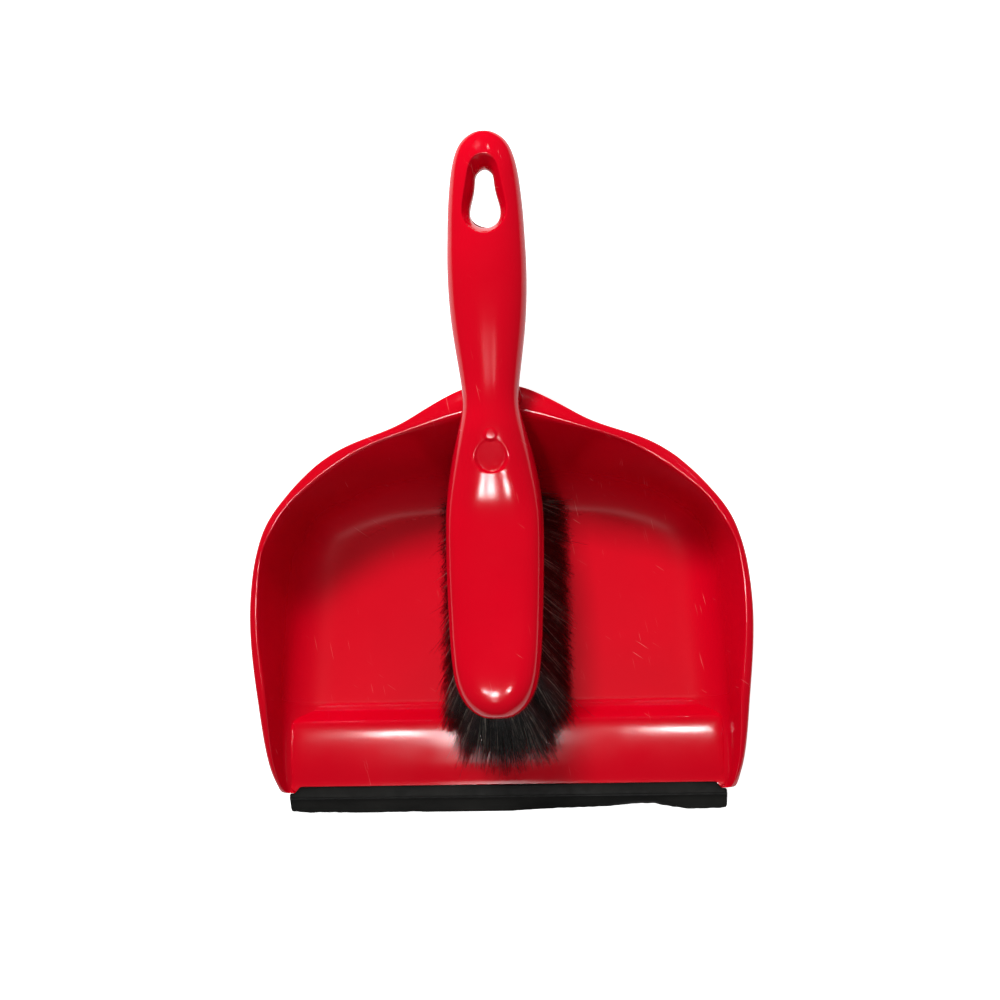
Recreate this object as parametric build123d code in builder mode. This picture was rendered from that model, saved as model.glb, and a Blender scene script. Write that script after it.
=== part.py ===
from build123d import *
import os
from math import copysign, cos, pi, sin

# Dust pan with a hand brush lying over it, in millimetres, +Z up and +Y towards the handles.
# The origin is the middle of the footprint, on the surface that the pan stands on.

# driving dimensions of the pan
wall = 2.2
floor_top = wall
loft_top = 66.0
floor_fillet = 5.0
rim_drop = 3.4
front_y = -145.6
ramp_foot_y = -102.3
ramp_under_y = ramp_foot_y - 1.5
ramp_crest_y = -110.2
ramp_crest_z = 9.5
ramp_mid = (-127, 7.8)
ramp_under_mid = (-122, 5.6)
nose_back_y = -137.0
nose_low = 1.6
nose_high = 3.8
hollow_depth = 40

# driving dimensions of the rubber lip
clip_back_y = -142.4
blade_root_y = -148.2
blade_edge_y = -155.5
lip_half_width = 107.5
clip_half_width = 103.0
lip_top = 5.2
clip_clearance = 0.5
blade_root_z = 3.2
blade_edge_z = 0.5
lip_step = 0.4

# driving dimensions of the brush
block_base = 48.0
mating_gap = 0.6
hang_hole = [(7.5, 118.8), (4.9, 135.1)]
hang_slot = [(9.4, 125.6), (7.0, 143.0)]
hang_hole_mid = 93.0
hang_draft = 18
hang_reach = 30.0
scoop_radius = 7.6
scoop_floor = Plane(origin=(0, 7, 75.6), x_dir=(1, 0, 0), z_dir=(0, -0.42, 1))
scoop_depth = 12
pip_radius = 3.0
pip_base = Plane(origin=(0, 16.2, 76), x_dir=(1, 0, 0), z_dir=(0, -0.25, 1))
pip_height = 4.2

# driving dimensions of the tufts and their anchors
hole_top = 58.0
anchor_height = 1.8
anchor_thick = 0.4
anchor_length = 4.8
root_radius = 2.05
tip_radius = 3.6
hole_clearance = 0.05
tip_clearance = 0.6
row_pitch = 7.0
rank_count = 16
rank_pitch = 6.7
first_rank_y = -101.5
first_tip_y = -127.5
spread_x = 1.7
spread_y = 1.17
lean_x = 1.0

# stud on the pan's handle that the brush drops over
stud_radius = 4.0
stud_y = 58.0
stud_top = 76.0
stud_root = 65.0
stud_chamfer = 1
socket_clearance = 0.08
socket_depth = 1

# reach of the tools that cut right across or right through the pan
half_across = 140
full_height = 126
below_ground = -1
front_cut = 20

# right-hand half of the inside corner of the tray, front to back, at the floor
inner_base = [(107.5, -147), (105.5, -102), (103, -66), (101.3, -36), (98, -22), (90, -9.5),
              (62, 1.5), (30, 4.8), (0, 6.5)]
# the same corner carried up its drafted wall to the height of the loft
inner_high = [(134, -147), (123, -103), (124.5, -72), (118.5, -34), (110, -21), (98, -6.5),
              (65, 17.4), (30, 28.5), (0, 34.7)]
# right-hand half of the rolled rim in plan, front to back
rim_plan = [(104, -147.2), (113, -140.7), (117.7, -102.7), (120, -63), (116, -32.2), (106.5, -12.2),
            (79.5, 13.8), (45, 27.3), (27.5, 37.4), (13.5, 43.8), (0, 46)]
# height of the rim's crest along the pan
rim_height = [(-147, 4.5), (-141, 12), (-133, 18), (-104.6, 31), (-77, 39), (-54, 44), (-35, 47.5),
              (-23, 51), (-7, 54), (15, 57), (33, 61.5), (50, 64)]
# the pan's handle: right-hand half in plan, then its upper and lower edges from the side
handle_plan = [(26, 18), (16, 34), (12, 45), (12, 56), (14, 85), (13.8, 115), (11.8, 138), (0, 155.5)]
handle_upper = [(18, 50), (33, 61), (50, 67), (90, 77), (138, 88), (156, 91)]
handle_lower = [(18, 28), (33, 43), (50, 51), (90, 61), (138, 73), (156, 79)]
hollow_plan = [(9, 48), (9.8, 62), (11.2, 85), (0, 104)]
hollow_upper = [(40, 60), (58, 64.4), (85, 69.6), (110, 74.8)]

# cross-sections along the brush: y, half width, bottom, middle, top, squareness below and above
brush_sections = [
    (-113.6, 3.0, 50, 57, 62, 2.2, 2.2),
    (-110, 10.6, 46.5, 57, 66.5, 3.0, 2.4),
    (-104, 16.2, 45, 57, 69, 4.0, 2.8),
    (-92, 20.2, 45, 57, 70, 5.0, 3.2),
    (-60, 22.3, 45, 57, 70, 5.0, 3.4),
    (-22, 23.3, 45, 57, 70.5, 5.0, 3.4),
    (-4, 21.8, 45, 58, 73.5, 4.5, 2.8),
    (10, 19.1, 48.5, 62, 78, 3.5, 2.4),
    (20, 16.2, 55.5, 67.5, 80.5, 2.8, 2.2),
    (33, 13.0, 64.5, 73, 82, 2.3, 2.1),
    (50, 14.8, 66.5, 76.5, 86.5, 2.1, 2.1),
    (70, 17.4, 70.2, 80.8, 91.5, 2.1, 2.1),
    (90, 18.3, 74.3, 85, 96, 2.1, 2.1),
    (115, 17.3, 79.8, 90.5, 101.3, 2.1, 2.1),
    (138, 14.7, 85.5, 95.5, 105.2, 2.1, 2.2),
    (149, 11.0, 90, 97.8, 105.3, 2.1, 2.2),
    (154.6, 4.0, 95, 98.5, 102.5, 2.1, 2.1),
]
section_points = 16

os.makedirs("parts", exist_ok=True)


def outward(points, distance):
    """The same points moved away from the tray, square to the outline."""
    moved = []
    for i, (x, y) in enumerate(points):
        before = Vector(*points[max(i - 1, 0)])
        after = Vector(*points[min(i + 1, len(points) - 1)])
        along = (after - before).normalized()
        if i == 0:
            along = Vector(0, 1)
        if i == len(points) - 1:
            along = Vector(-1, 0)
        moved.append((x + along.Y * distance, y - along.X * distance))
    return moved


def outline(points, height=0):
    """A level face from its right-hand points, mirrored to the left."""
    mirrored = [(-x, y) for x, y in reversed(points[:-1])]
    with BuildSketch(Plane.XY.offset(height)) as face:
        with BuildLine():
            edge = Spline(*points, *mirrored)
            Line(edge @ 1, edge @ 0)
        make_face()
    return face.sketch


def side_face(upper, lower):
    """The upright face between an upper and a lower edge, both given as points along Y."""
    with BuildSketch(Plane.YZ) as face:
        with BuildLine():
            top = Spline(*upper)
            bottom = Spline(*lower)
            Line(top @ 0, bottom @ 0)
            Line(top @ 1, bottom @ 1)
        make_face()
    return face.sketch


def tray_block(grow, low_z):
    """The tray's drafted block from low_z up, moved outwards by grow."""
    with BuildPart() as block:
        low_face = outline(outward(inner_base, grow), low_z)
        high_face = outline(outward(inner_high, grow), loft_top)
        loft(sections=[low_face, high_face])
    return block.part


def brush_section(y, half_width, low, middle, high, square_low, square_high, grow):
    """One rounded cross-section of the brush, widened all round by grow."""
    points = []
    for step in range(section_points):
        angle = 2 * pi * step / section_points
        upper = sin(angle) > 0
        square = square_high if upper else square_low
        height = (high - middle if upper else middle - low) + grow
        across = copysign(abs(cos(angle)) ** (2 / square), cos(angle))
        up = copysign(abs(sin(angle)) ** (2 / square), sin(angle))
        points.append((across * (half_width + grow), up * height))
    with BuildSketch(Plane(origin=(0, y, middle), x_dir=(1, 0, 0), z_dir=(0, -1, 0))) as section:
        with BuildLine():
            Spline(*points, periodic=True)
        make_face()
    return section.sketch


def brush_shape(grow=0):
    """The brush's outer shape, all round larger by grow, without its holes."""
    with BuildPart() as shape:
        loft(sections=[brush_section(*section, grow) for section in brush_sections])
    return shape.part


def ramp_height(y):
    """Height under a bristle tip at y: the tray's floor, the riser or the ramp's crest."""
    climb = (ramp_foot_y - y) / (ramp_foot_y - ramp_crest_y)
    return floor_top + min(max(climb, 0), 1) * (ramp_crest_z - floor_top)


def hanging_opening(circles, draft):
    """A drawn-out hole through a handle, narrowest at its middle plane."""
    with BuildSketch(Plane.XY.offset(hang_hole_mid)) as waist:
        for radius, y in circles:
            with Locations((0, y)):
                Circle(radius)
        make_hull()
    with BuildPart() as opening:
        extrude(waist.sketch, amount=hang_reach, taper=-draft)
        extrude(waist.sketch, amount=-hang_reach, taper=-draft)
    return opening.part


def across_pan(upper, lower):
    """A solid the full width of the pan, between an upper and a lower edge seen from the side."""
    with BuildPart() as slab:
        extrude(side_face(upper, lower), amount=half_across, both=True)
    return slab.part


def handle_prism(plan, upper, lower):
    """The common solid of a plan outline and a side outline, both on the pan's handle."""
    with BuildPart() as prism:
        extrude(outline(plan), amount=full_height)
        add(across_pan(upper, lower), mode=Mode.INTERSECT)
    return prism.part


# The pan: one moulding of tray, rolled rim, hollow ramp and channelled handle.
with BuildPart() as cavity:
    add(tray_block(0, floor_top))
    fillet(cavity.edges().group_by(Axis.Z)[0].filter_by(GeomType.BSPLINE), floor_fillet)

rim_underside = [(y, z - rim_drop) for y, z in rim_height]
ground_line = [(y, below_ground) for y, z in rim_height]

with BuildPart() as rim:
    extrude(outline(rim_plan), amount=loft_top)
    add(across_pan(rim_height, rim_underside), mode=Mode.INTERSECT)

with BuildPart() as ramp:
    with BuildSketch(Plane.YZ) as ramp_section:
        with BuildLine():
            riser = Line((ramp_foot_y, floor_top), (ramp_crest_y, ramp_crest_z))
            slope_end = (clip_back_y + clip_clearance, nose_high)
            slope = Spline(riser @ 1, ramp_mid, slope_end, tangents=((-1, 0.2), (-1, -0.4)))
            nose = Polyline(slope @ 1, (front_y, nose_high), (front_y, nose_low), (nose_back_y, nose_low))
            under = Spline(nose @ 1, ramp_under_mid, (ramp_crest_y - 1, ramp_crest_z - wall - 0.3))
            Polyline(under @ 1, (ramp_under_y, 0), riser @ 0)
        make_face()
    extrude(amount=half_across, both=True)
    add(tray_block(wall / 2, 0), mode=Mode.INTERSECT)

with BuildPart() as handle:
    add(handle_prism(handle_plan, handle_upper, handle_lower))
    hollow_lower = [(y, z - hollow_depth) for y, z in hollow_upper]
    add(handle_prism(hollow_plan, hollow_upper, hollow_lower), mode=Mode.SUBTRACT)
    add(brush_shape(mating_gap), mode=Mode.SUBTRACT)
    add(hanging_opening(hang_slot, 0), mode=Mode.SUBTRACT)
    with BuildSketch(Plane.XY.offset(stud_root)):
        with Locations((0, stud_y)):
            Circle(stud_radius)
    extrude(amount=stud_top - stud_root)
    chamfer(handle.edges().filter_by(GeomType.CIRCLE).group_by(Axis.Z)[-1], stud_chamfer)

with BuildPart() as dustpan:
    add(tray_block(wall, 0))
    add(across_pan(rim_height, ground_line), mode=Mode.INTERSECT)
    add(rim.part)
    add(handle.part)
    add(cavity.part, mode=Mode.SUBTRACT)
    with BuildSketch():
        with Locations((0, (ramp_under_y + blade_edge_y) / 2)):
            Rectangle(2 * (clip_half_width + clip_clearance), ramp_under_y - blade_edge_y)
    extrude(amount=floor_top, mode=Mode.SUBTRACT)
    add(ramp.part)
    with BuildSketch():
        with Locations((0, front_y - front_cut / 2)):
            Rectangle(2 * half_across, front_cut)
    extrude(amount=front_cut, mode=Mode.SUBTRACT)
dustpan.part.label = "dustpan"
export_step(dustpan.part, "parts/dustpan.step")

# The rubber lip: a clip over the pan's front edge and a tapered blade, one extrusion.
with BuildPart() as rubber_lip:
    with BuildSketch(Plane.YZ):
        with BuildLine():
            Polyline((front_y, 0), (front_y, lip_top), (blade_root_y, lip_top - lip_step),
                     (blade_root_y - lip_step, blade_root_z), (blade_edge_y, blade_edge_z),
                     (blade_edge_y, 0), (front_y, 0))
        make_face()
    extrude(amount=lip_half_width, both=True)
    for leg_low, leg_high in [(0, nose_low), (nose_high, lip_top)]:
        with BuildSketch(Plane.YZ):
            with BuildLine():
                Polyline((front_y - 1, leg_low), (front_y - 1, leg_high), (clip_back_y, leg_high),
                         (clip_back_y, leg_low), (front_y - 1, leg_low))
            make_face()
        extrude(amount=clip_half_width, both=True)
rubber_lip.part.label = "rubber_lip"
export_step(rubber_lip.part, "parts/rubber_lip.step")


def tuft_axis(row, rank):
    """Where a tuft's axis starts in the block and where it ends over the tray."""
    stagger = rank_pitch / 2 if row % 2 else 0
    x = row * row_pitch
    y = first_rank_y + rank * rank_pitch + stagger
    tip_x = spread_x * x + lean_x
    tip_y = first_tip_y + (y - first_rank_y) * spread_y
    tip_z = ramp_height(max(tip_y - tip_radius, ramp_crest_y)) + tip_clearance
    return Vector(x, y, hole_top), Vector(tip_x, tip_y, tip_z)


def tuft_cone(start, end, top_z, extra):
    """A tuft as a slanted cone from top_z in the block down to its tip, extra wider all round."""
    share = (start.Z - top_z) / (start.Z - end.Z)
    top = start + (end - start) * share
    radius = root_radius + (tip_radius - root_radius) * share
    with BuildSketch(Plane.XY.offset(top_z)) as upper:
        with Locations((top.X, top.Y)):
            Circle(radius + extra)
    with BuildSketch(Plane.XY.offset(end.Z)) as lower:
        with Locations((end.X, end.Y)):
            Circle(tip_radius + extra)
    with BuildPart() as cone:
        loft(sections=[upper.sketch, lower.sketch])
    return cone.part


def rank_rows(rank):
    """The rows that a rank fills: the rounded ends of the block are too narrow for the outer two."""
    return range(-2, 3) if 2 <= rank < rank_count - 1 else range(-1, 2)


# The brush body: block and handle in one moulding, with tuft holes, stud socket and hanging hole.
with BuildPart() as brush_body:
    add(brush_shape())
    split(bisect_by=Plane.XY.offset(block_base), keep=Keep.TOP)
    add(hanging_opening(hang_hole, hang_draft), mode=Mode.SUBTRACT)
    with BuildSketch(Plane.XY.offset(block_base)):
        with Locations((0, stud_y)):
            Circle(stud_radius + socket_clearance)
    extrude(amount=stud_top + socket_depth - block_base, mode=Mode.SUBTRACT)
    with BuildSketch(scoop_floor):
        Circle(scoop_radius)
    extrude(amount=scoop_depth, mode=Mode.SUBTRACT)
    with BuildSketch(pip_base):
        Circle(pip_radius)
    extrude(amount=pip_height)
    for rank in range(rank_count):
        for row in rank_rows(rank):
            add(tuft_cone(*tuft_axis(row, rank), hole_top, hole_clearance), mode=Mode.SUBTRACT)
brush_body.part.label = "brush_body"
export_step(brush_body.part, "parts/brush_body.step")

# The bristles: one node for each rank of tufts across the block, and one for its flat wire anchors.
anchor_low = hole_top - anchor_height
for rank in range(rank_count):
    with BuildPart() as tufts:
        for row in rank_rows(rank):
            add(tuft_cone(*tuft_axis(row, rank), anchor_low, 0))
    tufts.part.label = f"tufts_rank_{rank + 1:02d}"
    export_step(tufts.part, f"parts/{tufts.part.label}.step")
    with BuildPart() as anchors:
        for row in rank_rows(rank):
            start, end = tuft_axis(row, rank)
            with BuildSketch(Plane.XY.offset(anchor_low)):
                with Locations((start.X, start.Y)):
                    Rectangle(anchor_length, anchor_thick)
            extrude(amount=anchor_height)
    anchors.part.label = f"anchors_rank_{rank + 1:02d}"
    export_step(anchors.part, f"parts/{anchors.part.label}.step")
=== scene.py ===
import random
from bisect import bisect_right
from math import copysign, cos, hypot, pi, radians, sin, sqrt

import bmesh
import bpy
from mathutils import Matrix, Vector


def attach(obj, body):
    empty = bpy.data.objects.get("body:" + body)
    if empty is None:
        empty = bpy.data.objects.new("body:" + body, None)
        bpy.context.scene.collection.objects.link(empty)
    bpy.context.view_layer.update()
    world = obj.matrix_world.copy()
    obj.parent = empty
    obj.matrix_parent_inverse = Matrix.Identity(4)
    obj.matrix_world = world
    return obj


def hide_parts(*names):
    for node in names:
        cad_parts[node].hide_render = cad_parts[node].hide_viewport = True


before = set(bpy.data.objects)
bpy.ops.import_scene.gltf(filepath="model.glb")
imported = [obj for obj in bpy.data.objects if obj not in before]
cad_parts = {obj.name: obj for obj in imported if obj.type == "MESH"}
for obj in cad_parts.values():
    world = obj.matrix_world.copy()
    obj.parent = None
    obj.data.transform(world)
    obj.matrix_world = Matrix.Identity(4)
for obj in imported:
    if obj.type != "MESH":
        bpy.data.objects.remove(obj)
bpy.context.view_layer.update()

mm = 0.001  # every size below is in millimetres, and is turned to metres as a mesh is built
scene = bpy.context.scene


def mix(a, b, share):
    return a + (b - a) * share


def smoothRow(rows, at):
    # a row of values at one place along the piece, on a smooth curve through the rows given
    keys = [row[0] for row in rows]
    at = min(max(at, keys[0]), keys[-1])
    i = min(max(bisect_right(keys, at) - 1, 0), len(rows) - 2)
    before, low, high, after = rows[max(i - 1, 0)], rows[i], rows[i + 1], rows[min(i + 2, len(rows) - 1)]
    span = high[0] - low[0]
    u = (at - low[0]) / span
    values = [at]
    for k in range(1, len(low)):
        slopeLow = (high[k] - before[k]) / (high[0] - before[0]) * span
        slopeHigh = (after[k] - low[k]) / (after[0] - low[0]) * span
        values.append((2 * u**3 - 3 * u**2 + 1) * low[k] + (u**3 - 2 * u**2 + u) * slopeLow
                      + (3 * u**2 - 2 * u**3) * high[k] + (u**3 - u**2) * slopeHigh)
    return values


def alongRow(points):
    # each point with its distance along the row before it
    rows, distance, last = [], 0, points[0]
    for point in points:
        distance += hypot(point[0] - last[0], point[1] - last[1])
        rows.append((distance, *point))
        last = point
    return rows


def ringOf(bm, points):
    # one closed ring of vertices, made from a circle and laid on the points given
    ring = bmesh.ops.create_circle(bm, segments=len(points), radius=mm)["verts"]
    for vert, point in zip(ring, points):
        vert.co = Vector(point) * mm
    return ring


def ringEdges(bm, ring):
    return [bm.edges.get((ring[k - 1], ring[k])) for k in range(len(ring))]


def skin(bm, first, second):
    # the band of faces between two rings that have as many vertices
    bmesh.ops.bridge_loops(bm, edges=ringEdges(bm, first) + ringEdges(bm, second))


def wrap(bm, first, second):
    # the same band laid face by face, for rings without edges of their own in the order of their points
    count = len(first)
    for k in range(count):
        bm.faces.new((first[k], first[(k + 1) % count], second[(k + 1) % count], second[k]))


def bandFace(bm, first, second, k):
    # the face of that band between the rings' points k and k + 1
    near = bm.edges.get((first[k], second[k]))
    far = bm.edges.get((first[(k + 1) % len(first)], second[(k + 1) % len(second)]))
    return next(face for face in near.link_faces if face in far.link_faces)


def cap(bm, ring):
    bmesh.ops.edgeloop_fill(bm, edges=ringEdges(bm, ring))


def sweep(bm, rings):
    # a closed skin through the rings, capped at both ends
    for first, second in zip(rings, rings[1:]):
        skin(bm, first, second)
    cap(bm, rings[0])
    cap(bm, rings[-1])


def pieceFrom(bm, name, material, body, levels=0):
    bmesh.ops.recalc_face_normals(bm, faces=bm.faces[:])
    mesh = bpy.data.meshes.new(name)
    bm.to_mesh(mesh)
    bm.free()
    for polygon in mesh.polygons:
        polygon.use_smooth = True
    mesh.materials.append(material)
    piece = bpy.data.objects.new(name, mesh)
    scene.collection.objects.link(piece)
    if levels:
        rounding = piece.modifiers.new("rounding", "SUBSURF")
        rounding.levels = levels
        rounding.render_levels = levels
    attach(piece, body)
    return piece


def rounded(bm, levels):
    # the same cage as a smooth, dense mesh, ready for small shapes to be pressed into it
    cage = bpy.data.meshes.new("cage")
    bm.to_mesh(cage)
    bm.free()
    holder = bpy.data.objects.new("cage", cage)
    scene.collection.objects.link(holder)
    rounding = holder.modifiers.new("rounding", "SUBSURF")
    rounding.levels = levels
    rounding.render_levels = levels
    dense = bpy.data.meshes.new_from_object(holder.evaluated_get(bpy.context.evaluated_depsgraph_get()))
    result = bmesh.new()
    result.from_mesh(dense)
    bpy.data.objects.remove(holder)
    bpy.data.meshes.remove(cage)
    bpy.data.meshes.remove(dense)
    return result


plastic = {
    "colour": (0.66, 0.0, 0.012),
    "worn": (0.55, 0.0, 0.009),
    "scratch": (0.74, 0.10, 0.10),
    "roughness": 0.10,
    "dullRoughness": 0.26,
    "shine": 0.5,
    "dullShine": 0.15,
    "dullTop": 0.030,
    "dullFrom": (-0.103, -0.100),
    "scratchBump": 0.12,
    "rippleBump": 0.03,
}


def nodesOf(name):
    material = bpy.data.materials.new(name)
    material.use_nodes = True
    tree = material.node_tree
    shader = tree.nodes["Principled BSDF"]
    place = tree.nodes.new("ShaderNodeTexCoord")
    return material, tree, shader, place.outputs["Object"]


def noise(tree, place, scale, detail=4.0, stretch=None, turn=0):
    if stretch:
        turned = tree.nodes.new("ShaderNodeMapping")
        turned.inputs["Rotation"].default_value = (0, 0, radians(turn))
        tree.links.new(place, turned.inputs["Vector"])
        mapping = tree.nodes.new("ShaderNodeMapping")
        mapping.inputs["Scale"].default_value = stretch
        place = turned.outputs["Vector"]
        tree.links.new(place, mapping.inputs["Vector"])
        place = mapping.outputs["Vector"]
    pattern = tree.nodes.new("ShaderNodeTexNoise")
    pattern.inputs["Scale"].default_value = scale
    pattern.inputs["Detail"].default_value = detail
    tree.links.new(place, pattern.inputs["Vector"])
    return pattern.outputs["Fac"]


def ramp(tree, value, low, high, lowColour=(0, 0, 0), highColour=(1, 1, 1)):
    curve = tree.nodes.new("ShaderNodeValToRGB")
    curve.color_ramp.elements[0].position = low
    curve.color_ramp.elements[1].position = high
    curve.color_ramp.elements[0].color = (*lowColour, 1)
    curve.color_ramp.elements[1].color = (*highColour, 1)
    tree.links.new(value, curve.inputs["Fac"])
    return curve.outputs["Color"]


def bump(tree, height, strength, distance, under=None):
    relief = tree.nodes.new("ShaderNodeBump")
    relief.inputs["Strength"].default_value = strength
    relief.inputs["Distance"].default_value = distance
    tree.links.new(height, relief.inputs["Height"])
    if under:
        tree.links.new(under, relief.inputs["Normal"])
    return relief.outputs["Normal"]


def between(tree, value, low, high):
    # 0 at low, 1 at high, and a straight slope between them
    slope = tree.nodes.new("ShaderNodeMapRange")
    slope.inputs["From Min"].default_value = low
    slope.inputs["From Max"].default_value = high
    tree.links.new(value, slope.inputs["Value"])
    return slope.outputs["Result"]


def times(tree, first, second):
    product = tree.nodes.new("ShaderNodeMath")
    product.operation = "MULTIPLY"
    for socket, value in zip(product.inputs, (first, second)):
        if isinstance(value, float):
            socket.default_value = value
        else:
            tree.links.new(value, socket)
    return product.outputs["Value"]


def plus(tree, first, second):
    total = tree.nodes.new("ShaderNodeMath")
    tree.links.new(first, total.inputs[0])
    tree.links.new(second, total.inputs[1])
    return total.outputs["Value"]


def rubbed(tree, place):
    # the tray's floor and the foot of its walls are rubbed dull by years of grit
    corner = tree.nodes.new("ShaderNodeSeparateXYZ")
    tree.links.new(place, corner.inputs["Vector"])
    behindRamp = between(tree, corner.outputs["Y"], *plastic["dullFrom"])
    low = between(tree, corner.outputs["Z"], plastic["dullTop"], plastic["dullTop"] * 0.2)
    return times(tree, behindRamp, low)


def plasticMaterial(name, seedShift, hasTray=False):
    material, tree, shader, place = nodesOf(name)
    link = tree.links.new
    clouds = noise(tree, place, 9.0 + seedShift, 3.0)
    moulded = ramp(tree, clouds, 0.35, 0.75, plastic["worn"], plastic["colour"])
    # hairline scuffs, drawn out along two directions, in patches
    patches = ramp(tree, noise(tree, place, 34.0 + seedShift, 2.0), 0.50, 0.66)
    scuffMarks = ramp(tree, noise(tree, place, 1500.0, 1.0, (1.0, 0.03, 0.03), -12), 0.73, 0.765)
    crossMarks = ramp(tree, noise(tree, place, 1300.0, 1.0, (0.05, 1.0, 0.05), 35), 0.74, 0.775)
    marks = times(tree, plus(tree, scuffMarks, crossMarks), patches)
    scuffed = tree.nodes.new("ShaderNodeMixRGB")
    link(marks, scuffed.inputs["Fac"])
    link(moulded, scuffed.inputs["Color1"])
    scuffed.inputs["Color2"].default_value = (*plastic["scratch"], 1)
    link(scuffed.outputs["Color"], shader.inputs["Base Color"])
    shine = tree.nodes.new("ShaderNodeMapRange")
    shine.inputs["To Min"].default_value = plastic["roughness"] - 0.02
    shine.inputs["To Max"].default_value = plastic["roughness"] + 0.08
    link(noise(tree, place, 60.0 + seedShift, 7.0), shine.inputs["Value"])
    finish = shine.outputs["Result"]
    shader.inputs["Specular IOR Level"].default_value = plastic["shine"]
    if hasTray:
        dull = rubbed(tree, place)
        finish = plus(tree, finish, times(tree, dull, plastic["dullRoughness"]))
        faded = tree.nodes.new("ShaderNodeMapRange")
        faded.inputs["To Min"].default_value = plastic["shine"]
        faded.inputs["To Max"].default_value = plastic["dullShine"]
        link(dull, faded.inputs["Value"])
        link(faded.outputs["Result"], shader.inputs["Specular IOR Level"])
    link(finish, shader.inputs["Roughness"])
    ripple = bump(tree, noise(tree, place, 38.0, 2.0), plastic["rippleBump"], 0.002)
    scratched = bump(tree, marks, plastic["scratchBump"], 0.0001, ripple)
    grain = noise(tree, place, 420.0, 6.0)
    link(bump(tree, grain, 0.02, 0.0003, scratched), shader.inputs["Normal"])
    return material


rubber = {
    "dark": (0.005, 0.005, 0.0045),
    "dusty": (0.014, 0.0135, 0.012),
    "shine": 0.2,
    "roughness": (0.42, 0.68),
    "lineBump": 0.12,
}


def rubberMaterial():
    material, tree, shader, place = nodesOf("lipRubber")
    link = tree.links.new
    dust = noise(tree, place, 70.0, 8.0, (0.4, 1.0, 1.0))
    link(ramp(tree, dust, 0.42, 0.8, rubber["dark"], rubber["dusty"]), shader.inputs["Base Color"])
    shader.inputs["Specular IOR Level"].default_value = rubber["shine"]
    smooth, rough = rubber["roughness"]
    worn = noise(tree, place, 240.0, 5.0)
    link(ramp(tree, worn, 0.2, 0.9, (smooth,) * 3, (rough,) * 3), shader.inputs["Roughness"])
    drawLines = noise(tree, place, 500.0, 4.0, (0.01, 1.0, 1.0))  # drawn out along the strip
    relief = bump(tree, drawLines, rubber["lineBump"], 0.0004)
    grain = noise(tree, place, 900.0, 3.0)
    link(bump(tree, grain, rubber["lineBump"], 0.0002, relief), shader.inputs["Normal"])
    return material


hair = {
    "black": (0.006, 0.0055, 0.005),
    "pale": (0.46, 0.40, 0.34),
    "paleFrom": 0.80,
    "shine": 0.45,
    "roughness": (0.28, 0.5),
}


def bristleMaterial():
    material, tree, shader, place = nodesOf("bristle")
    link = tree.links.new
    shade = tree.nodes.new("ShaderNodeAttribute")
    shade.attribute_name = "shade"
    tones = ramp(tree, shade.outputs["Fac"], hair["paleFrom"], 1.0, hair["black"], hair["pale"])
    link(tones, shader.inputs["Base Color"])
    smooth, rough = hair["roughness"]
    worn = noise(tree, place, 300.0, 3.0)
    link(ramp(tree, worn, 0.3, 0.8, (smooth,) * 3, (rough,) * 3), shader.inputs["Roughness"])
    shader.inputs["Specular IOR Level"].default_value = hair["shine"]
    return material


wire = {
    "dull": (0.42, 0.42, 0.43),
    "bright": (0.62, 0.61, 0.6),
    "roughness": 0.35,
    "drawnBump": 0.2,
}


def wireMaterial():
    material, tree, shader, place = nodesOf("anchorWire")
    link = tree.links.new
    drawn = noise(tree, place, 900.0, 4.0, (0.05, 1.0, 1.0))
    link(ramp(tree, drawn, 0.3, 0.8, wire["dull"], wire["bright"]), shader.inputs["Base Color"])
    link(bump(tree, drawn, wire["drawnBump"], 0.0001), shader.inputs["Normal"])
    shader.inputs["Metallic"].default_value = 1.0
    shader.inputs["Roughness"].default_value = wire["roughness"]
    return material


panPlastic = plasticMaterial("panPlastic", 0.0, hasTray=True)
brushPlastic = plasticMaterial("brushPlastic", 1.7)
lipRubber = rubberMaterial()
bristlePlastic = bristleMaterial()
anchorWire = wireMaterial()
print("materials made")


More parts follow.
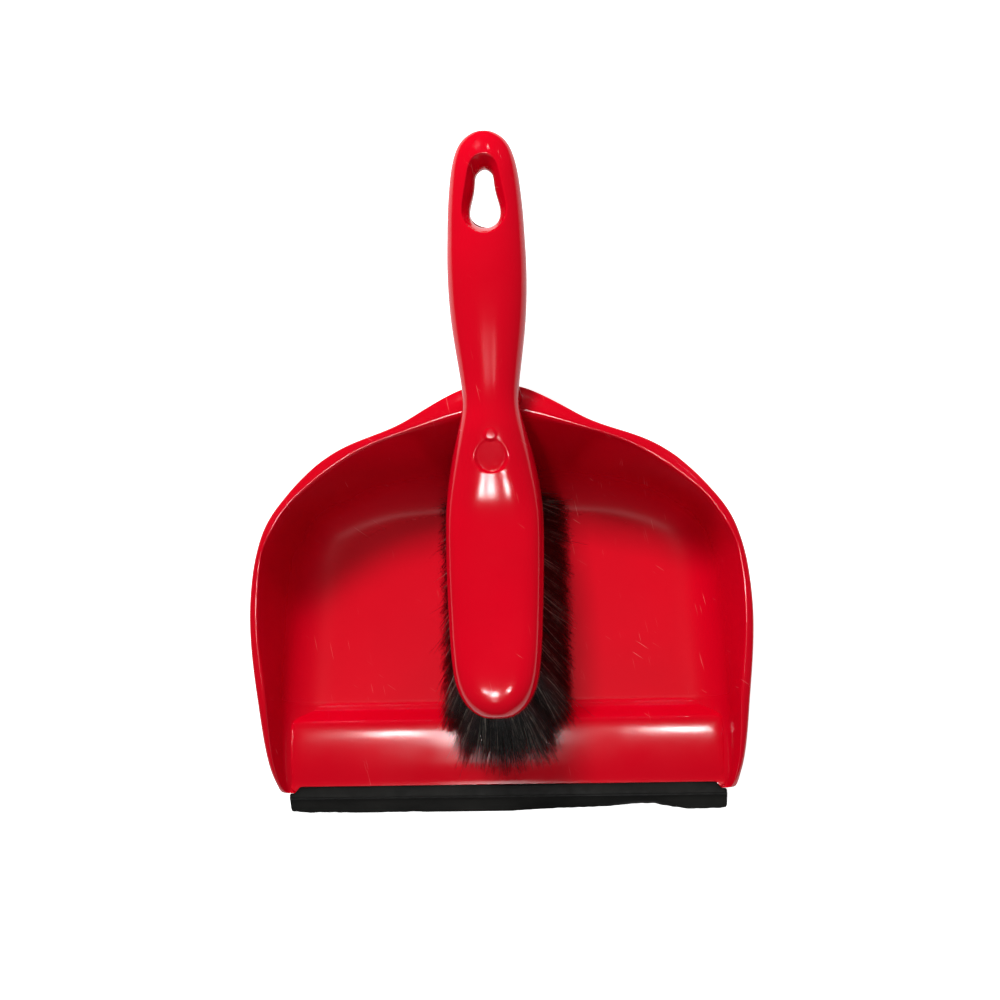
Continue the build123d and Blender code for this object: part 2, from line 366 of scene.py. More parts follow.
brush = {
    # y, half width, bottom, middle, top, squareness below and above the middle
    "sections": [(-113.6, 3.0, 50, 57, 62, 2.2, 2.2), (-110, 10.6, 46.5, 57, 66.5, 3.0, 2.4),
                 (-104, 16.2, 45, 57, 69, 4.0, 2.8), (-92, 20.2, 45, 57, 70, 5.0, 3.2),
                 (-60, 22.3, 45, 57, 70, 5.0, 3.4), (-26, 23.2, 45, 57, 70.1, 5.0, 3.4),
                 (-17, 23.1, 45, 57, 70.9, 5.0, 3.0), (-4, 21.8, 45, 58, 74.1, 4.5, 2.7),
                 (4, 20.4, 46.7, 60, 76.2, 4.0, 2.5), (10, 19.1, 48.5, 62, 77.9, 3.5, 2.4),
                 (20, 16.2, 55.5, 67.5, 80.5, 2.8, 2.2), (33, 13.0, 64.5, 73, 82, 2.3, 2.1),
                 (50, 15.0, 66.5, 76.5, 86.5, 2.1, 2.1), (70, 17.8, 70.2, 80.8, 92.2, 2.1, 2.1),
                 (90, 18.8, 74.3, 85, 96.8, 2.1, 2.1), (115, 17.9, 79.8, 90.5, 101.7, 2.1, 2.1),
                 (130, 16.7, 83.5, 93.6, 104.2, 2.1, 2.1), (141, 14.9, 86.5, 96, 105.4, 2.1, 2.2),
                 (149, 11.9, 90, 97.8, 105.3, 2.1, 2.2), (153, 8.2, 93, 98.4, 104.2, 2.1, 2.1),
                 (155.2, 3.4, 95, 98.5, 102.5, 2.1, 2.1)],
    "columns": 24,
    "blockBase": 48.0,
    # y of each ring of the cage, close together at the ends, the scoop and the hanging hole
    "rings": [-112.6, -110.6, -107, -102, -95, -84, -66, -45, -28, -18, -11, -6, -3, -1, 1, 3, 5, 7, 9, 11,
              13, 15, 17, 20, 24, 29, 35, 43, 54, 68, 82, 94, 101, 105.6, 107.2, 110, 114.5, 119.5, 125,
              130, 135, 139, 141.6, 142.9, 145.5, 148.5, 151.5, 153.6, 154.9],
    "holeTop": [(10.8, 117.0), (7.2, 135.6)],  # radius and y of the two circles that the hole is drawn round
    # half width of the hanging hole at its waist, by y
    "holeWaist": [(111.2, 0), (112.1, 3.4), (114.3, 6.0), (118, 7.0), (121.5, 6.6), (125, 5.5), (129, 4.5),
                  (133.5, 4.1), (137.0, 3.3), (139.0, 0)],
    "holeRings": (105.6, 142.9),
    "waistHeight": 3.0,
    "edgeSteps": (0.10, 0.36),
    "scoop": {"centre": (0, 7, 75.4), "tilt": 0.46, "radius": 7.9, "edge": 1.1, "above": 66},
    "pip": {"centre": (0, 16.2), "radius": 3.0, "rise": 0.45, "slope": 0.6, "above": 70},
}


def onSection(y, across, side):
    # height of the brush's surface at y, across from the middle; side is 1 above the parting plane, -1 below
    _, half, low, middle, high, squareLow, squareHigh = smoothRow(brush["sections"], y)
    square = squareHigh if side > 0 else squareLow
    reach = high - middle if side > 0 else low - middle
    share = min(abs(across) / half, 1)
    return middle + reach * (1 - share**square) ** (1 / square)


pan = {
    "wall": 2.2,
    "floor": 2.2,
    "loftTop": 66.0,
    "fillet": 8.0,
    # front to back: inside corner at the floor (x, y), the same carried up the wall to the loft's top (x, y)
    "outline": [(107.5, -147, 134, -147), (105.5, -102, 123, -103), (103, -66, 124.5, -72),
                (101.3, -36, 118.5, -34), (98, -22, 110, -21), (90, -9.5, 98, -6.5), (62, 1.5, 65, 17.4),
                (30, 4.8, 30, 28.5), (0, 6.5, 0, 34.7)],
    # outer edge of the rolled rim in plan, front to back
    "rimEdge": [(104, -147.2), (113, -140.7), (117.7, -102.7), (120, -63), (116, -32.2), (106.5, -12.2),
                (79.5, 13.8), (45, 27.3), (27.5, 37.4), (13.5, 43.8), (0, 46), (-13.5, 43.8)],
    "rimExtra": 0.35,
    "rimLeast": 1.6,
    # height of the rim's crest at y
    "rimHeight": [(-147, 4.5), (-141, 12), (-133, 18), (-104.6, 31), (-77, 39), (-54, 44), (-35, 47.5),
                  (-23, 51), (-7, 54), (15, 57), (33, 61.5), (50, 64)],
    "rimDrop": 3.4,
    "rimRound": (0.28, 3.6),  # rounding of the inner edge, as a share of the rim's width and at most
    "frontY": -145.6,
    "deepShare": 0.80,  # how far out from the middle the floor's bands end
    "deepY": -60,
    "floorColumns": (0.86, 0.6, 0.3, 0, -0.3, -0.6, -0.86),
}
insideRows = alongRow([((x + highX) / 2, (y + highY) / 2, x, y, highX, highY)
                       for x, y, highX, highY in pan["outline"]])
rimRows = alongRow(pan["rimEdge"])
rimEdge = [smoothRow(rimRows, distance)[1:] for distance in range(int(rimRows[-1][0]))]
outlineEnd = insideRows[-1][0]
floorStart = insideRows[1][0] - 3  # the tray's floor starts under the foot of the ramp
# distances along the outline where the wall has a section, closest round the back corners
panStations = ([1, 4, 12, 23, 34, floorStart, floorStart + 2.5]
               + [floorStart + step for step in range(12, 62, 10)]
               + list(range(104, 160, 5)) + list(range(162, int(outlineEnd) - 5, 8)) + [outlineEnd])


def wallCorner(at):
    # the inside corner's two points at one distance along it
    return smoothRow(insideRows, at)[3:]


def rimCrest(at):
    # crest of the wall at one distance along the outline
    lowX, lowY, highX, highY = wallCorner(at)
    share = 0.5
    for _ in range(8):
        height = smoothRow(pan["rimHeight"], mix(lowY, highY, share))[1]
        share = (height - pan["floor"]) / (pan["loftTop"] - pan["floor"])
    return mix(lowX, highX, share), mix(lowY, highY, share), height


def rimReach(crestX, crestY, out):
    # how far the rolled rim stands out from the crest
    ahead = [(abs((x - crestX) * out.y - (y - crestY) * out.x), (x - crestX) * out.x + (y - crestY) * out.y)
             for x, y in rimEdge]
    return max(min(pair for pair in ahead if pair[1] > 0)[1] + pan["rimExtra"], pan["rimLeast"])


def panStation(at):
    # the section of the wall at one place: from the floor up the inside, over the rim and down the outside
    lowX, lowY, highX, highY = wallCorner(at)
    crestX, crestY, crest = rimCrest(at)
    aheadX, aheadY, _ = rimCrest(min(at + 2, outlineEnd))
    behindX, behindY, _ = rimCrest(max(at - 2, 0))
    along = Vector((aheadX - behindX, aheadY - behindY)).normalized()
    if at == outlineEnd:
        along = Vector((-1, 0))
    out = Vector((along.y, -along.x))
    width = rimReach(crestX, crestY, out)
    rise = crest - pan["floor"]
    drop = min(pan["rimDrop"], 0.42 * rise)

    def wallPoint(height, stand):
        share = (height - pan["floor"]) / (pan["loftTop"] - pan["floor"])
        x, y = mix(lowX, highX, share), mix(lowY, highY, share)
        return (x + out.x * stand, max(y + out.y * stand, pan["frontY"]), height)

    def rimPoint(stand, height):
        return (crestX + out.x * stand, max(crestY + out.y * stand, pan["frontY"]), height)

    fillet = min(pan["fillet"], 0.34 * rise)
    ledge = max(width - 1.5, pan["wall"] + 0.2)
    roundShare, roundMost = pan["rimRound"]
    soft = min(roundShare * width, roundMost)
    deepY = lowY if lowY < pan["deepY"] else mix(pan["deepY"], lowY, pan["deepShare"])
    deep = (lowX * pan["deepShare"], deepY, pan["floor"])
    outsideLow = wallPoint(pan["floor"], -1.6)
    return [
        deep, wallPoint(pan["floor"], -fillet * 1.15), wallPoint(pan["floor"] + fillet, 0),
        wallPoint(pan["floor"] + 0.5 * rise, 0), wallPoint(crest - soft - 0.1 * min(rise, 14), 0),
        rimPoint(-0.05, crest - 0.55 * soft), rimPoint(0.6 * soft, crest),
        rimPoint(0.6 * width, crest - 0.12 * drop),
        rimPoint(width - 0.25, crest - 0.4 * drop), rimPoint(width, crest - 0.8 * drop),
        rimPoint(width - 0.5, crest - drop), rimPoint(ledge, crest - drop - 0.1),
        wallPoint(crest - drop - 0.5, pan["wall"] + 0.1), wallPoint(pan["floor"] + 0.42 * rise, pan["wall"]),
        wallPoint(pan["floor"] + min(4.5, 0.3 * rise), pan["wall"]),
        (outsideLow[0], outsideLow[1], 0.0), (deep[0], deep[1], 0.0),
    ]


def trayFloor(bm, edge):
    # one face of the floor, in bands from side to side between a ring's right and left halves
    rows = []
    while len(edge) > 1:
        right, left = edge[0], edge[-1]
        across = [bm.verts.new((right.co.x * share, right.co.y, right.co.z)) for share in pan["floorColumns"]]
        rows.append([right] + across + [left])
        edge = edge[1:-1]
    for near, far in zip(rows, rows[1:]):
        for j in range(len(near) - 1):
            bm.faces.new((near[j], near[j + 1], far[j + 1], far[j]))
    for j in range(len(rows[-1]) - 1):
        bm.faces.new((rows[-1][j], rows[-1][j + 1], edge[0]))
    return rows[0]


def trayShell():
    bm = bmesh.new()
    right = [panStation(at) for at in panStations]
    left = [[(-x, y, z) for x, y, z in station] for station in reversed(right[:-1])]
    rings = [ringOf(bm, station) for station in right + left]
    closed = [at < floorStart for at in panStations]
    closed += list(reversed(closed[:-1]))
    for k in range(len(rings) - 1):
        skin(bm, rings[k], rings[k + 1])
        if not (closed[k] or closed[k + 1]):
            # here the floor carries on across the tray
            bm.faces.remove(bandFace(bm, rings[k], rings[k + 1], len(rings[k]) - 1))
    cap(bm, rings[0])
    cap(bm, rings[-1])
    inner = [ring for ring, shut in zip(rings, closed) if not shut]
    upper, lower = trayFloor(bm, [ring[0] for ring in inner]), trayFloor(bm, [ring[-1] for ring in inner])
    for j in range(len(upper) - 1):
        bm.faces.new((upper[j], upper[j + 1], lower[j + 1], lower[j]))
    return bm


frontRamp = {
    # section of the riser and the long convex ramp that leads up from the lip, hollow below (y, z)
    "section": [(-101.4, 2.1), (-102.8, 2.8), (-104.1, 3.1), (-105.3, 3.0), (-107.5, 5.3), (-109.9, 8.6),
                (-111.1, 9.35), (-113.5, 9.45), (-120, 8.8), (-130, 7.2), (-138, 5.0), (-141.9, 3.85),
                (-145.2, 3.8), (-145.6, 3.4), (-145.6, 2.0), (-145.2, 1.6), (-137, 1.6), (-124, 4.9),
                (-114.5, 6.8), (-110.8, 5.6), (-106.4, 0.6), (-105.6, 0.0), (-101.4, 0.0)],
    "shares": (-1, -0.97, -0.5, 0, 0.5, 0.97, 1),
    # half width at the back and at the front, and the y of each
    "half": (106.4, 108.1),
    "halfAt": (-100, -146),
}


def rampShell(bm):
    backY, frontY = frontRamp["halfAt"]
    rings = []
    for share in frontRamp["shares"]:
        rings.append(ringOf(bm, [(share * mix(*frontRamp["half"], (y - backY) / (frontY - backY)), y, z)
                                 for y, z in frontRamp["section"]]))
    sweep(bm, rings)


panHandle = {
    # y, half width and bottom edge
    "rows": [(34, 16.0, 35.0), (41, 12.9, 46.0), (47, 12.0, 49.2), (48.8, 11.9, 50.3), (58, 12.0, 54.2),
             (70, 12.9, 57), (85, 14.0, 60.1), (97, 14.1, 62.8), (102, 14.0, 64.0), (104, 13.9, 64.5),
             (112, 13.8, 66.4), (116.2, 13.6, 67.5), (119, 13.4, 68.2), (126, 12.9, 69.9), (134, 12.2, 72.0),
             (141, 11.3, 73.9), (147.5, 9.6, 75.8), (150, 8.5, 76.6), (153.5, 6.0, 77.8), (155.2, 3.0, 78.8)],
    "channel": (48.8, 102),  # between these the handle is a hollow channel
    "slot": [(9.4, 125.6), (7.0, 143.0)],  # radius and y of the two circles that the slot is drawn round
    "slotRings": (11, 17),
    "gap": 0.7,  # under the brush's handle
    "crownWall": 3.0,
    "highest": 90.6,
    "lipRise": 3.6,
    "lipWidth": 1.3,
    "channelWall": 2.4,
    "rootIn": 1.1,  # how far the root reaches into the pan's back wall
}


def hullHalfWidth(circles, y):
    # half width at y of the outline round two circles in a row
    (radiusA, yA), (radiusB, yB) = circles
    lean = (radiusA - radiusB) / (yB - yA)
    if y < yA + radiusA * lean:
        return sqrt(max(radiusA**2 - (y - yA) ** 2, 0))
    if y > yB + radiusB * lean:
        return sqrt(max(radiusB**2 - (y - yB) ** 2, 0))
    return (radiusA - (y - yA) * lean) / sqrt(1 - lean**2)


def handleShell(bm):
    rings = []
    first, last = panHandle["slotRings"]
    channelStart, channelEnd = panHandle["channel"]
    gap, lipWidth = panHandle["gap"], panHandle["lipWidth"]
    for k, (y, half, bottom) in enumerate(panHandle["rows"]):
        hollow = channelStart <= y <= channelEnd
        opening = hullHalfWidth(panHandle["slot"], y) if first <= k <= last else 0
        crown = min(onSection(y, 0, -1) - gap, panHandle["highest"] - 0.3)
        top = min(onSection(y, half - lipWidth, -1) - gap, panHandle["highest"], crown + panHandle["lipRise"])
        roof = crown - panHandle["crownWall"] if hollow else bottom
        inner = max(0.55 * half, opening + 0.4 * (half - opening)) if opening else 0.55 * half
        mid = opening if first < k < last else 0.0
        side = half - panHandle["channelWall"] if hollow else half - 1.5
        right = [(mid, crown), (inner, mix(crown, top, 0.45)), (half - lipWidth, top),
                 (half - 0.2, top - 0.6), (half, top - 2.0), (half, bottom + 1.6), (half - 0.5, bottom),
                 (side, bottom)]
        solidUnder = [(side - 0.6, bottom), (side - 1.0, bottom)]
        under = [(side - 0.1, roof - 2.5), (side - 0.9, roof)] if hollow else solidUnder
        right += under + [(min(inner, side - 1.3), roof), (mid, roof)]
        left = reversed(right if mid else right[1:-1])
        outline = right + [(-x, z) for x, z in left]
        # the root leans with the pan's back wall and ends inside it
        _, wallY, _, wallHighY = pan["outline"][-1]
        slope = (wallHighY - wallY) / (pan["loftTop"] - pan["floor"])
        root = [wallY + panHandle["rootIn"] + (z - pan["floor"]) * slope for x, z in outline]
        rings.append(ringOf(bm, [(x, y if k else rootY, z) for (x, z), rootY in zip(outline, root)]))
    count = len(rings[0])
    half = count // 2
    for k in range(len(rings) - 1):
        low, high = rings[k], rings[k + 1]
        if not first <= k < last:
            skin(bm, low, high)
            continue
        for onRight in (True, False):
            # one side of the slot, from its top edge round the outside to its bottom edge
            edges = []
            for ring in (low, high):
                leftSide = ring[half + 1:] if len(ring) > count else ring[half:] + ring[:1]
                edges.append(ring[:half + 1] if onRight else leftSide)
            for j in range(len(edges[0]) - 1):
                bm.faces.new((edges[0][j], edges[0][j + 1], edges[1][j + 1], edges[1][j]))
            top, bottom = (0, -1) if onRight else (-1, 0)
            bm.faces.new([edges[0][top], edges[1][top], edges[1][bottom], edges[0][bottom]])
    cap(bm, rings[0])
    cap(bm, rings[-1])


stud = {
    "profile": [(4.6, 65.6), (4.0, 67.0), (4.0, 74.6), (3.6, 75.6), (3.0, 76.0)],  # radius and height
    "y": 58,
    "sides": 16,
}


def studShell(bm):
    turns = [2 * pi * k / stud["sides"] for k in range(stud["sides"])]
    sweep(bm, [ringOf(bm, [(radius * cos(turn), stud["y"] + radius * sin(turn), z) for turn in turns])
               for radius, z in stud["profile"]])


trayMesh = trayShell()
rampShell(trayMesh)
handleShell(trayMesh)
studShell(trayMesh)
panPiece = pieceFrom(trayMesh, "dust_pan_moulding", panPlastic, "pan", levels=3)
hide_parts("dustpan")
print("dust pan made")


lip = {
    "half": 107.5,
    "clipHalf": 103.0,
    "clipBack": -142.4,
    "panEdge": -145.62,
    "bladeEdge": -155.5,
    "top": 5.2,
    "steps": 130,
    # how far the worn front edge wanders from straight, by x
    "wear": [(-107.5, 1.0), (-96, 0.25), (-90, 0.5), (-80, 0.0), (-40, 0.1), (-22, -0.35), (0, 0.0),
             (19, 0.9), (45, 1.6), (70, 2.9), (80, 1.2), (89, -0.0), (100, 0.1), (107.5, 0.6)],
    "ragged": 0.28,
    # height, length and start of two slow waves along the strip
    "waves": [(0.12, 9.0, 0.0), (0.10, 4.1, 1.0)],
}


def lipSection(x, dice):
    # the strip's section at x: the clip round the pan's edge, the step, the thin blade and its worn edge
    wander = dice.uniform(-1, 1) * lip["ragged"] * (0.35 + abs(x) / 150)
    edge = max(lip["bladeEdge"] + smoothRow(lip["wear"], x)[1] + wander, lip["bladeEdge"])
    wave = sum(height * sin(x / length + start) for height, length, start in lip["waves"])
    top = lip["top"]
    inClip = abs(x) < lip["clipHalf"]
    back = lip["clipBack"] if inClip else lip["panEdge"]
    shoulder = 0.5 if inClip else 0.15
    upperLeg = [(back, 3.95 if inClip else 4.0), (back, top - 0.35), (back - shoulder, top)]
    lowerLeg = [(back, 0.1), (back, 1.45), (-145.5 if inClip else back, 1.5)]
    blade = [(-147.0, top + 0.02 + wave * 0.3), (-147.9, top - 0.02), (-148.35, top - 0.5), (-148.5, 3.55),
             (-149.1, 3.2 + wave * 0.2), (-152.0, 1.95 + wave * 0.3), (edge + 0.5, 0.9), (edge, 0.55),
             (edge + 0.05, 0.08), (edge + 0.6, 0.0), (-148, 0.0)]
    return [(lip["panEdge"], 1.62), (lip["panEdge"], 3.78)] + upperLeg + blade + lowerLeg


def rubberLip():
    bm = bmesh.new()
    dice = random.Random(11)
    rings = []
    for step in range(lip["steps"] + 1):
        x = mix(-lip["half"], lip["half"], step / lip["steps"])
        rings.append(ringOf(bm, [(x, y, z) for y, z in lipSection(x, dice)]))
    sweep(bm, rings)
    return pieceFrom(bm, "rubber_lip_strip", lipRubber, "pan", levels=1)


lipPiece = rubberLip()
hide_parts("rubber_lip")
print("rubber lip made")


def brushRing(y, opening):
    # one section of the brush; beside the hanging hole its columns are spread clear of the opening
    count = brush["columns"]
    quarter = count // 4
    _, half, low, middle, high, squareLow, squareHigh = smoothRow(brush["sections"], y)
    points = []
    for k in range(count):
        angle = 2 * pi * k / count
        square = squareHigh if sin(angle) > 0 else squareLow
        across = half * abs(cos(angle)) ** (2 / square)
        nearest = half * abs(cos(pi / 2 * (quarter - 1) / quarter)) ** (2 / square)
        if opening and k % (count // 2) != quarter:
            across = opening + (half - opening) * (across - nearest) / (half - nearest)
        across = copysign(across, cos(angle)) if k % (count // 2) != quarter else 0
        if k % (count // 2) == 0:
            z = middle
        else:
            z = onSection(y, across, copysign(1, sin(angle)))
        points.append((across, y, max(z, brush["blockBase"])))
    return points


def brushCage():
    bm = bmesh.new()
    count = brush["columns"]
    top, bottom = count // 4, 3 * count // 4
    first, last = (brush["rings"].index(y) for y in brush["holeRings"])
    rings = []
    for k, y in enumerate(brush["rings"]):
        opening = hullHalfWidth(brush["holeTop"], y) if first < k < last else 0
        rings.append(ringOf(bm, brushRing(y, opening)))
    for k in range(len(rings) - 1):
        skin(bm, rings[k], rings[k + 1])
        if first <= k < last:
            gone = [bandFace(bm, rings[k], rings[k + 1], j) for j in (top - 1, top, bottom - 1, bottom)]
            bmesh.ops.delete(bm, geom=gone, context="FACES_ONLY")
    for ring in rings[first + 1:last]:
        bmesh.ops.delete(bm, geom=[ring[top], ring[bottom]], context="VERTS")
    for end, inner in ((rings[first], rings[first + 1]), (rings[last], rings[last - 1])):
        for middle in (top, bottom):
            for beside in (middle - 1, middle + 1):
                bm.faces.new((end[middle], end[beside], inner[beside]))
    # the tunnel of the hanging hole, drawn in to its waist at the parting plane
    inside = list(range(first + 1, last))
    loops = []
    for middle, step in ((top, 1), (bottom, -1)):
        loop = [rings[first][middle]] + [rings[k][middle - step] for k in inside]
        loop += [rings[last][middle]] + [rings[k][middle + step] for k in reversed(inside)]
        loops.append(loop)
    startY, endY = brush["holeRings"]
    waistRows = brush["holeWaist"]
    tunnel = [loops[0]]
    for loop, side in ((loops[0], 1), (loops[1], -1)):
        waist = []
        for vert in loops[0]:
            share = (vert.co.y / mm - startY) / (endY - startY)
            y = mix(waistRows[0][0], waistRows[-1][0], share)
            x = copysign(smoothRow(waistRows, y)[1], vert.co.x) if 0 < share < 1 else 0
            waist.append((x, y, smoothRow(brush["sections"], y)[3] + side * brush["waistHeight"]))
        steps = []
        for toWaist in brush["edgeSteps"]:
            steps.append(ringOf(bm, [[mix(vert.co[k] / mm, point[k], toWaist) for k in range(3)]
                                     for vert, point in zip(loop, waist)]))
        steps.append(ringOf(bm, waist))
        tunnel += steps if side > 0 else list(reversed(steps)) + [loop]
    for low, high in zip(tunnel, tunnel[1:]):
        wrap(bm, low, high)
    cap(bm, rings[0])
    cap(bm, rings[-1])
    bmesh.ops.recalc_face_normals(bm, faces=bm.faces[:])
    return bm


def pressScoop(bm):
    # the round thumb scoop at the neck and the small gate mark behind it
    scoop, pip = brush["scoop"], brush["pip"]
    centre = Vector(scoop["centre"]) * mm
    radius = scoop["radius"] * mm
    for vert in bm.verts:
        inside = (radius - hypot(vert.co.x, vert.co.y - centre.y)) / (scoop["edge"] * mm)
        floor = centre.z + scoop["tilt"] * (vert.co.y - centre.y)
        if inside > 0 and vert.co.z > floor and vert.co.z > scoop["above"] * mm:
            inside = min(inside, 1)
            vert.co.z = mix(vert.co.z, floor, inside * inside * (3 - 2 * inside))
    for vert in bm.verts:
        reach = hypot(vert.co.x, vert.co.y - pip["centre"][1] * mm)
        if vert.co.z > pip["above"] * mm and reach < pip["radius"] * mm:
            vert.co.z += pip["rise"] * mm * min(1, (pip["radius"] * mm - reach) / (pip["slope"] * mm))


brushMesh = rounded(brushCage(), 3)
pressScoop(brushMesh)
brushPiece = pieceFrom(brushMesh, "brush_body_moulding", brushPlastic, "brush")
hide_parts("brush_body")
print("brush body made")


bristles = {
    "rows": 5,
    "rowPitch": 7.0,
    "ranks": 16,
    "rankPitch": 6.7,
    "firstRank": -101.5,
    "firstTip": -128.5,
    "spreadX": 1.86,
    "frontSpread": (2.3, 2.5),
    "frontTipRadius": 11.5,
    "spreadY": 1.29,
    "wallFoot": -2.0,
    "wallRise": 2.2,
    "lastTip": 12.0,
    "lean": 1.0,
    "perTuft": 400,
    "frontPerTuft": 640,
    "rootRadius": 2.2,
    "tipRadius": 8.0,
    "thick": 0.33,
    "segments": 4,
    "stray": 0.05,
    "strayReach": (3.0, 3.5),
    "strayLift": 10,
    "bend": 1.2,
    "outwardCurve": 1.35,
    "taper": 0.75,
    "overTray": 0.35,
    "uneven": 0.7,
    # share of pale bristles, and the tones of the pale and the dark ones
    "paleShare": 0.12,
    "paleTone": (0.82, 1.0),
    "darkTone": (0, 0.6),
    # the ramp that they lie over: y of its foot and its crest, the crest's height and its fall to the front
    "rampFoot": -102.3,
    "rampCrest": -110.2,
    "rampHigh": 9.5,
    "rampFall": 0.12,
}


def trayHeight(y):
    # height of the tray, the ramp and the foot of the back wall under the bristles
    foot, crest = bristles["rampFoot"], bristles["rampCrest"]
    climb = min(max((foot - y) / (foot - crest), 0), 1)
    height = pan["floor"] + climb * (bristles["rampHigh"] - pan["floor"])
    upWall = max(0, y - bristles["wallFoot"]) * bristles["wallRise"]
    return height - max(0, crest - y) * bristles["rampFall"] + upWall


def strand(bm, shade, points, thick, tone):
    # one bristle: a three-sided tube that thins towards its tip
    rings = []
    for k, point in enumerate(points):
        radius = thick * (1 - bristles["taper"] * k / (len(points) - 1)) / 2
        ring = [bm.verts.new(Vector((point[0] + radius * cos(a), point[1] + radius * sin(a), point[2])) * mm)
                for a in (0.3, 2.39, 4.49)]
        for vert in ring:
            vert[shade] = tone
        rings.append(ring)
    for low, high in zip(rings, rings[1:]):
        wrap(bm, low, high)
    bm.faces.new(rings[0])
    bm.faces.new(rings[-1])


def tuft(bm, shade, row, rank, dice):
    stagger = bristles["rankPitch"] / 2 if row % 2 else 0
    rootX = row * bristles["rowPitch"]
    rootY = bristles["firstRank"] + rank * bristles["rankPitch"] + stagger
    atFront = rank < len(bristles["frontSpread"])
    spread = bristles["frontSpread"][rank] if atFront else bristles["spreadX"]
    tipRadius = bristles["frontTipRadius"] if atFront else bristles["tipRadius"]
    tipX = spread * rootX + bristles["lean"]
    tipY = bristles["firstTip"] + (rootY - bristles["firstRank"]) * bristles["spreadY"]
    base = brush["blockBase"] + 0.6
    most = bristles["bend"]
    for _ in range(bristles["frontPerTuft"] if atFront else bristles["perTuft"]):
        angle, reach = dice.uniform(0, 2 * pi), sqrt(dice.random())
        root = reach * bristles["rootRadius"]
        start = Vector((rootX + root * cos(angle), rootY + root * sin(angle), base))
        flare = tipRadius * reach * dice.uniform(0.75, 1.12)
        endX, endY = tipX + flare * cos(angle + dice.uniform(-0.4, 0.4)), tipY + flare * sin(angle)
        bend = dice.uniform(-most, most), dice.uniform(-most, most)
        stray = dice.random() < bristles["stray"]
        if stray:
            endX += dice.gauss(0, bristles["strayReach"][0])
            endY += dice.gauss(0, bristles["strayReach"][1])
        endY = min(endY, bristles["lastTip"] + dice.uniform(-2, 1))
        floor = trayHeight(endY) + bristles["overTray"]
        endZ = floor + abs(dice.gauss(0, bristles["uneven"]))
        endZ += dice.uniform(0, bristles["strayLift"]) if stray else 0
        tone = dice.uniform(*bristles["paleTone" if dice.random() < bristles["paleShare"] else "darkTone"])
        points = []
        for k in range(bristles["segments"] + 1):
            share = k / bristles["segments"]
            curve = sin(pi * share)
            outward = share ** bristles["outwardCurve"]
            x = mix(start.x, endX, outward) + bend[0] * curve
            y = mix(start.y, endY, outward) + bend[1] * curve
            z = mix(start.z, endZ, share)
            points.append((x, y, max(z, trayHeight(y) + bristles["overTray"] - 0.05)))
        strand(bm, shade, points, bristles["thick"] * dice.uniform(0.8, 1.15), tone)


def rankRows(rank):
    # the first two ranks and the last have three tufts, because the block narrows there
    return range(-2, 3) if 2 <= rank < bristles["ranks"] - 1 else range(-1, 2)


for rank in range(bristles["ranks"]):
    rankMesh = bmesh.new()
    toneLayer = rankMesh.verts.layers.float.new("shade")
    rankDice = random.Random(400 + rank)
    for rankRow in rankRows(rank):
        tuft(rankMesh, toneLayer, rankRow, rank, rankDice)
    rankPiece = pieceFrom(rankMesh, f"bristles_rank_{rank + 1:02d}", bristlePlastic, "brush")
    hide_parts(f"tufts_rank_{rank + 1:02d}")
    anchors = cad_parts[f"anchors_rank_{rank + 1:02d}"]
    anchors.data.materials.clear()
    anchors.data.materials.append(anchorWire)
print("bristles made")


studio = {
    "world": 0.25,
    "worldInGloss": 0.04,
    "floorGlow": 0.86,
    "floorHalf": 6000,
    "floorBelow": 0.2,
    "cameraAt": (52.2, -135.6, 766.9),
    "cameraTarget": (0.70, -5.67, 30),
    "roll": 0.8,
    "lens": 55.25,
    # name, direction from the object, distance, size across and along, power, and whether gloss mirrors it
    "lights": [("keySoftbox", (-0.20, 0.60, 0.78), 1400, (300, 300), 19.8, False),
               ("spotLeft", (-0.24, 0.515, 0.82), 1300, (30, 30), 0.08, True),
               ("spotMiddle", (0.10, 0.50, 0.86), 1300, (30, 30), 0.14, True),
               ("spotRight", (0.50, 0.44, 0.75), 1300, (30, 30), 0.14, True),
               ("ceilingLeft", (-0.185, -0.29, 0.94), 1100, (52, 26), 0.55, True),
               ("ceilingRight", (0.125, -0.29, 0.95), 1100, (66, 26), 0.7, True),
               ("shoulderLamp", (-0.08, -0.33, 0.94), 1100, (90, 110), 1.3, True),
               ("shoulderGlow", (-0.085, -0.42, 0.90), 1100, (80, 280), 0.40, True)],
}


def floorPlane():
    bm = bmesh.new()
    bmesh.ops.create_grid(bm, x_segments=1, y_segments=1, size=studio["floorHalf"] * mm)
    bmesh.ops.translate(bm, verts=bm.verts[:], vec=(0, 0, -studio["floorBelow"] * mm))
    mesh = bpy.data.meshes.new("studio_floor")
    bm.to_mesh(mesh)
    bm.free()
    material, tree, shader, place = nodesOf("floorPaper")
    paper = ramp(tree, noise(tree, place, 3.0), 0.2, 0.8, (0.93, 0.93, 0.93), (0.96, 0.96, 0.96))
    tree.links.new(paper, shader.inputs["Base Color"])
    shader.inputs["Roughness"].default_value = 0.9
    shader.inputs["Emission Color"].default_value = (1, 1, 1, 1)
    # seen straight on the floor glows white, in reflections it doesn't
    glow = tree.nodes.new("ShaderNodeMath")
    glow.operation = "MULTIPLY"
    glow.inputs[1].default_value = studio["floorGlow"]
    tree.links.new(tree.nodes.new("ShaderNodeLightPath").outputs["Is Camera Ray"], glow.inputs[0])
    tree.links.new(glow.outputs["Value"], shader.inputs["Emission Strength"])
    mesh.materials.append(material)
    floor = bpy.data.objects.new("studio_floor", mesh)
    scene.collection.objects.link(floor)


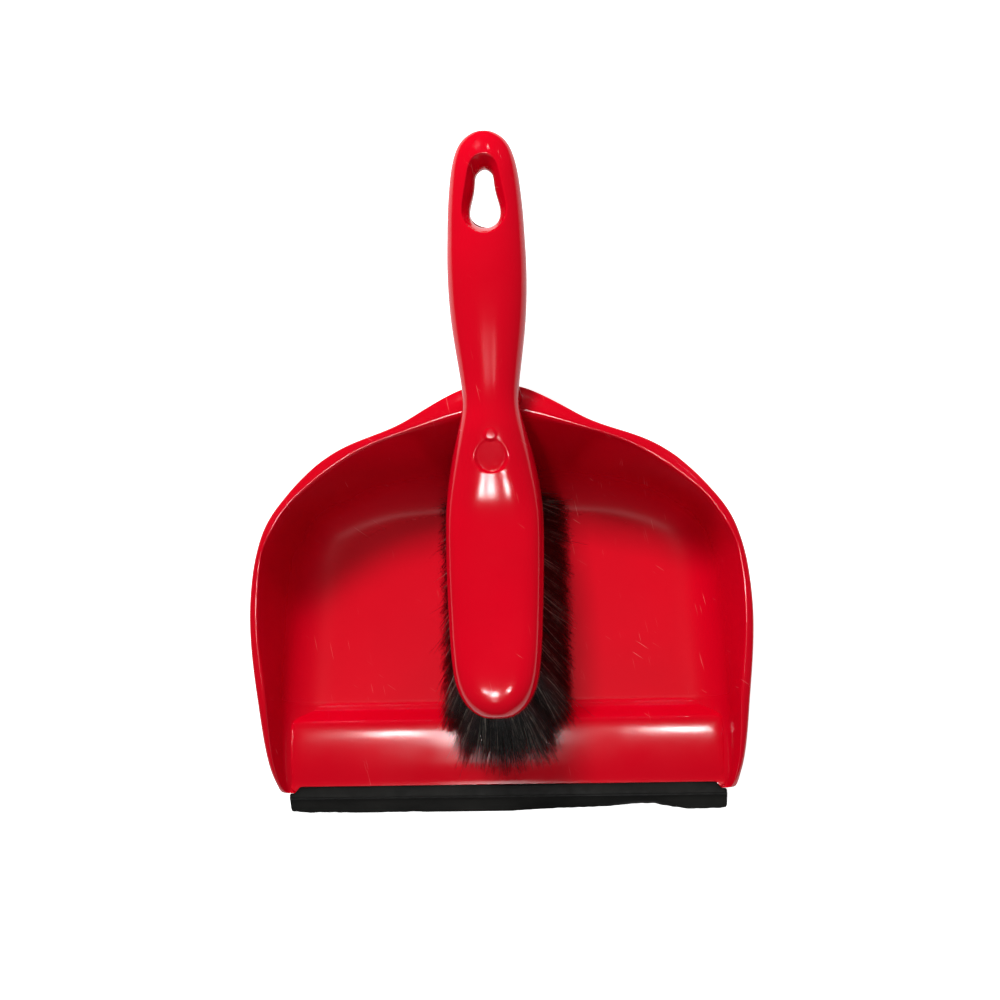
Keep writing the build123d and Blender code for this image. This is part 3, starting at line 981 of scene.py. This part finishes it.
def aim(thing, place, target, roll=0.0):
    # stands a lamp or the camera at its place, facing the target
    back = (Vector(place) - Vector(target)).normalized()
    right = Vector((0, 1, 0)).cross(back).normalized()
    up = back.cross(right)
    turn = radians(roll)
    turnedRight = right * cos(turn) - up * sin(turn)
    turnedUp = right * sin(turn) + up * cos(turn)
    thing.matrix_world = Matrix((
        (turnedRight.x, turnedUp.x, back.x, place[0] * mm),
        (turnedRight.y, turnedUp.y, back.y, place[1] * mm),
        (turnedRight.z, turnedUp.z, back.z, place[2] * mm),
        (0, 0, 0, 1)))


def studioSet():
    floorPlane()
    target = studio["cameraTarget"]
    for name, direction, distance, size, power, mirrored in studio["lights"]:
        place = Vector(target) + Vector(direction).normalized() * distance
        lamp = bpy.data.lights.new(name, "AREA")
        lamp.shape = "RECTANGLE"
        lamp.size, lamp.size_y = size[0] * mm, size[1] * mm
        lamp.energy = power
        holder = bpy.data.objects.new(name, lamp)
        scene.collection.objects.link(holder)
        holder.visible_glossy = mirrored
        aim(holder, place, target)
    world = bpy.data.worlds.new("studio")
    world.use_nodes = True
    sky = world.node_tree
    dim = sky.nodes["Background"]
    dim.inputs["Color"].default_value = (1, 1, 1, 1)
    seen = sky.nodes.new("ShaderNodeLightPath")
    strength = sky.nodes.new("ShaderNodeMapRange")
    strength.inputs["To Min"].default_value = studio["world"]
    strength.inputs["To Max"].default_value = studio["worldInGloss"]
    sky.links.new(seen.outputs["Is Glossy Ray"], strength.inputs["Value"])
    sky.links.new(strength.outputs["Result"], dim.inputs["Strength"])
    pale = sky.nodes.new("ShaderNodeBackground")  # the backdrop itself is as pale as the floor
    either = sky.nodes.new("ShaderNodeMixShader")
    sky.links.new(seen.outputs["Is Camera Ray"], either.inputs["Fac"])
    sky.links.new(dim.outputs["Background"], either.inputs[1])
    sky.links.new(pale.outputs["Background"], either.inputs[2])
    sky.links.new(either.outputs["Shader"], sky.nodes["World Output"].inputs["Surface"])
    scene.world = world
    camera = bpy.data.cameras.new("camera")
    camera.lens = studio["lens"]
    camera.sensor_width = 36
    camera.clip_start, camera.clip_end = 0.05, 20
    holder = bpy.data.objects.new("camera", camera)
    scene.collection.objects.link(holder)
    aim(holder, studio["cameraAt"], studio["cameraTarget"], studio["roll"])
    scene.camera = holder
    scene.view_settings.view_transform = "Standard"


studioSet()
print("studio made")
